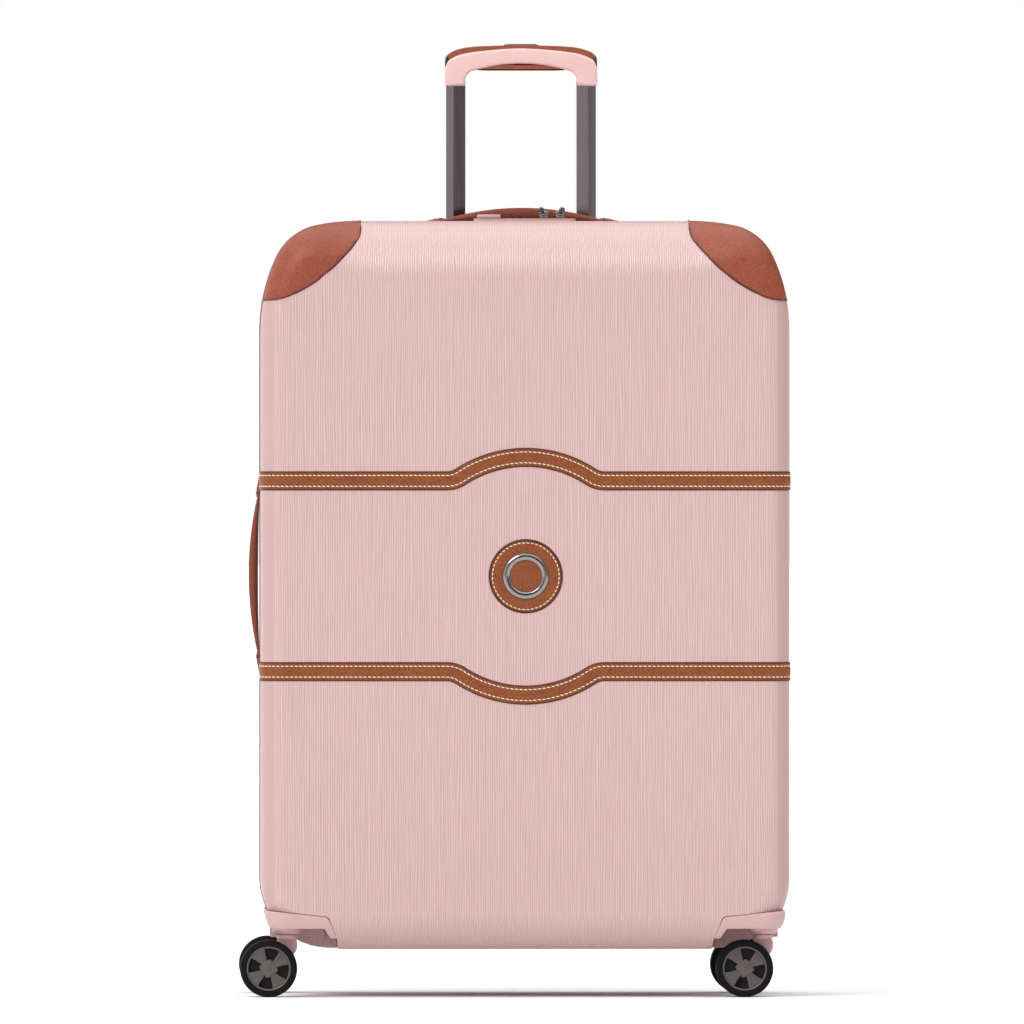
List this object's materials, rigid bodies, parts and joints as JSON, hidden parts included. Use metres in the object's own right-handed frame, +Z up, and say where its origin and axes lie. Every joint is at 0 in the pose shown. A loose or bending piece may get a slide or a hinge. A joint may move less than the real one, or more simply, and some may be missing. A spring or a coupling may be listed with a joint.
{
  "type": "suitcase",
  "caption": "Hard shell suitcase on swivelling twin-wheel casters, with a telescopic trolley, carry handles, a combination lock, leather corners, bands and a round badge.",
  "frame": {"origin": "on the floor, under the middle of the case", "axes": "+X to the right seen from the front, -Y out of the front face, +Z up"},
  "size_m": [0.5387, 0.3031, 0.9378],
  "materials": {
    "shell": "ribbed moulded polycarbonate, satin pink",
    "moulding": "smooth moulded ABS in the shell's pink",
    "leather": "tan brown finished leather with cream stitching",
    "gunmetal": "die-cast zinc, dark nickel plate",
    "tube": "extruded aluminium, anodised gunmetal",
    "steel": "bright drawn steel",
    "dark_plastic": "moulded dark grey nylon",
    "lining": "woven polyester lining, warm grey",
    "webbing": "woven elastic webbing, brown",
    "zip_tape": "woven polyester zip tape, dark brown",
    "hub": "glass-filled nylon, warm grey",
    "tyre": "polyurethane tyre, near black"
  },
  "bodies": {
    "root": {"rear_shell": "shell", "rear_lining": "lining", "rear_zipper_tape": "zip_tape", "hinge_gusset": "zip_tape", "trolley_tray": "dark_plastic", "outer_tubes": "tube", "tube_bushes": "dark_plastic", "foot_bracket": "dark_plastic", "rear_wheel_housings": "moulding", "rear_swivel_pins": "steel", "top_handle_mounts": "leather", "side_handle_mounts": "leather", "rear_corner_guards": "leather", "packing_straps": "webbing", "strap_buckle": "dark_plastic"},
    "front_case": {"front_shell": "shell", "front_lining": "lining", "front_zipper_tape": "zip_tape", "front_wheel_housings": "moulding", "front_swivel_pins": "steel", "front_corner_guards": "leather", "upper_band": "leather", "lower_band": "leather", "badge_disc": "leather", "badge_ring": "gunmetal", "lock_body": "moulding", "lock_dial_axle": "steel"},
    "trolley": {"inner_tubes": "tube", "tube_end_plugs": "dark_plastic", "grip_frame": "moulding", "grip_top_pad": "leather", "grip_under_pad": "leather"},
    "release": {"release_button": "moulding", "release_rods": "steel"},
    "top_handle": {"top_handle": "leather"},
    "side_handle": {"side_handle": "leather"},
    "zip_slider_left": {"zip_slider_left": "gunmetal"},
    "zip_slider_right": {"zip_slider_right": "gunmetal"},
    "zip_puller_left": {"zip_puller_left": "gunmetal"},
    "zip_puller_right": {"zip_puller_right": "gunmetal"},
    "lock_release": {"lock_release": "moulding"},
    "lock_dial_1": {"lock_dial_1": "dark_plastic"},
    "lock_dial_2": {"lock_dial_2": "dark_plastic"},
    "lock_dial_3": {"lock_dial_3": "dark_plastic"},
    "front_left_swivel": {"front_left_caster_yoke": "moulding"},
    "front_left_wheels": {"front_left_caster_axle": "steel", "front_left_caster_hubs": "hub", "front_left_caster_tyres": "tyre"},
    "front_right_swivel": {"front_right_caster_yoke": "moulding"},
    "front_right_wheels": {"front_right_caster_axle": "steel", "front_right_caster_hubs": "hub", "front_right_caster_tyres": "tyre"},
    "rear_left_swivel": {"rear_left_caster_yoke": "moulding"},
    "rear_left_wheels": {"rear_left_caster_axle": "steel", "rear_left_caster_hubs": "hub", "rear_left_caster_tyres": "tyre"},
    "rear_right_swivel": {"rear_right_caster_yoke": "moulding"},
    "rear_right_wheels": {"rear_right_caster_axle": "steel", "rear_right_caster_hubs": "hub", "rear_right_caster_tyres": "tyre"}
  },
  "joints": [
    {"name": "front_case_hinge", "type": "hinge", "parent": "root", "child": "front_case", "pos_m": [0.2607, 0, 0.4], "axis": [0, 0, -1], "range_deg": [-180, 0]},
    {"name": "trolley_slide", "type": "slide", "parent": "root", "child": "trolley", "axis": [0, 0, 1], "range_m": [-0.165, 0.11]},
    {"name": "release_button_press", "type": "slide", "parent": "trolley", "child": "release", "axis": [0, 0, 1], "range_m": [-0.003, 0], "stiffness_N_per_m": 600, "springref_m": 0.004},
    {"name": "top_handle_lift", "type": "slide", "parent": "root", "child": "top_handle", "axis": [0, 0, 1], "range_m": [0, 0.02], "stiffness_N_per_m": 150, "springref_m": -0.01},
    {"name": "side_handle_pull", "type": "slide", "parent": "root", "child": "side_handle", "axis": [-1, 0, 0], "range_m": [0, 0.02], "stiffness_N_per_m": 150, "springref_m": -0.01},
    {"name": "zip_slider_left_run", "type": "slide", "parent": "root", "child": "zip_slider_left", "axis": [1, 0, 0], "range_m": [-0.19, 0]},
    {"name": "zip_slider_right_run", "type": "slide", "parent": "root", "child": "zip_slider_right", "axis": [1, 0, 0], "range_m": [0, 0.135]},
    {"name": "zip_puller_left_flip", "type": "hinge", "parent": "zip_slider_left", "child": "zip_puller_left", "pos_m": [0.0201, -0.0015, 0.77], "axis": [-1, 0, 0], "range_deg": [0, 150]},
    {"name": "zip_puller_right_flip", "type": "hinge", "parent": "zip_slider_right", "child": "zip_puller_right", "pos_m": [0.0361, -0.0015, 0.77], "axis": [-1, 0, 0], "range_deg": [0, 150]},
    {"name": "lock_release_slide", "type": "slide", "parent": "front_case", "child": "lock_release", "axis": [1, 0, 0], "range_m": [0, 0.004], "stiffness_N_per_m": 400, "springref_m": -0.001},
    {"name": "lock_dial_1_turn", "type": "hinge", "parent": "front_case", "child": "lock_dial_1", "pos_m": [-0.014, -0.029, 0.755], "axis": [1, 0, 0], "continuous": true},
    {"name": "lock_dial_2_turn", "type": "hinge", "parent": "front_case", "child": "lock_dial_2", "pos_m": [-0.007, -0.029, 0.755], "axis": [1, 0, 0], "continuous": true},
    {"name": "lock_dial_3_turn", "type": "hinge", "parent": "front_case", "child": "lock_dial_3", "pos_m": [0, -0.029, 0.755], "axis": [1, 0, 0], "continuous": true},
    {"name": "front_left_swivel_turn", "type": "hinge", "parent": "front_case", "child": "front_left_swivel", "pos_m": [-0.233, -0.107, 0.06], "axis": [0, 0, 1], "continuous": true},
    {"name": "front_left_wheels_spin", "type": "hinge", "parent": "front_left_swivel", "child": "front_left_wheels", "pos_m": [-0.251, -0.107, 0.028], "axis": [0, 1, 0], "continuous": true},
    {"name": "front_right_swivel_turn", "type": "hinge", "parent": "front_case", "child": "front_right_swivel", "pos_m": [0.233, -0.107, 0.06], "axis": [0, 0, 1], "continuous": true},
    {"name": "front_right_wheels_spin", "type": "hinge", "parent": "front_right_swivel", "child": "front_right_wheels", "pos_m": [0.215, -0.107, 0.028], "axis": [0, 1, 0], "continuous": true},
    {"name": "rear_left_swivel_turn", "type": "hinge", "parent": "root", "child": "rear_left_swivel", "pos_m": [-0.233, 0.107, 0.06], "axis": [0, 0, 1], "continuous": true},
    {"name": "rear_left_wheels_spin", "type": "hinge", "parent": "rear_left_swivel", "child": "rear_left_wheels", "pos_m": [-0.251, 0.107, 0.028], "axis": [0, 1, 0], "continuous": true},
    {"name": "rear_right_swivel_turn", "type": "hinge", "parent": "root", "child": "rear_right_swivel", "pos_m": [0.233, 0.107, 0.06], "axis": [0, 0, 1], "continuous": true},
    {"name": "rear_right_wheels_spin", "type": "hinge", "parent": "rear_right_swivel", "child": "rear_right_wheels", "pos_m": [0.215, 0.107, 0.028], "axis": [0, 1, 0], "continuous": true}
  ]
}
